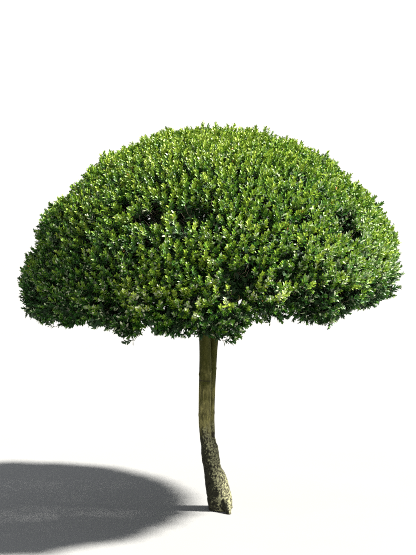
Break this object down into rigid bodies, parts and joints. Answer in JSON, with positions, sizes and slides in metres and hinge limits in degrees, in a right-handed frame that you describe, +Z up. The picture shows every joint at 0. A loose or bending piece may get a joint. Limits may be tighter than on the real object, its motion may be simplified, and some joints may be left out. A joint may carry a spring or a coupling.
{
  "type": "clipped standard holly tree",
  "caption": "Dome-headed standard of clipped small-leaved holly: a leaning clear trunk that parts into close-set stems, short boughs and a wide dense crown, rooted in the ground.",
  "frame": {"origin": "middle of the flat cut under the trunk, at ground level", "axes": "+Z up along the plant, +X to the right and -Y towards the viewer of the picture"},
  "size_m": [1.5388, 1.5222, 1.5728],
  "materials": {
    "bark": "rough, weathered bark with pale lichen and green algae",
    "young_bark": "smooth grey-green bark",
    "foliage": "small leathery leaves with a soft gloss"
  },
  "bodies": {
    "root": {"trunk": "bark", "stem_front": "young_bark", "stem_back": "young_bark", "bough_right": "young_bark", "bough_back_right": "young_bark", "bough_back_left": "young_bark", "bough_left": "young_bark", "bough_front_left": "young_bark", "bough_front": "young_bark", "bough_front_right": "young_bark", "foliage_right": "foliage", "foliage_back_right": "foliage", "foliage_back_left": "foliage", "foliage_left": "foliage", "foliage_front_left": "foliage", "foliage_front": "foliage", "foliage_front_right": "foliage", "foliage_top_left": "foliage", "foliage_top_right": "foliage"}
  },
  "joints": []
}
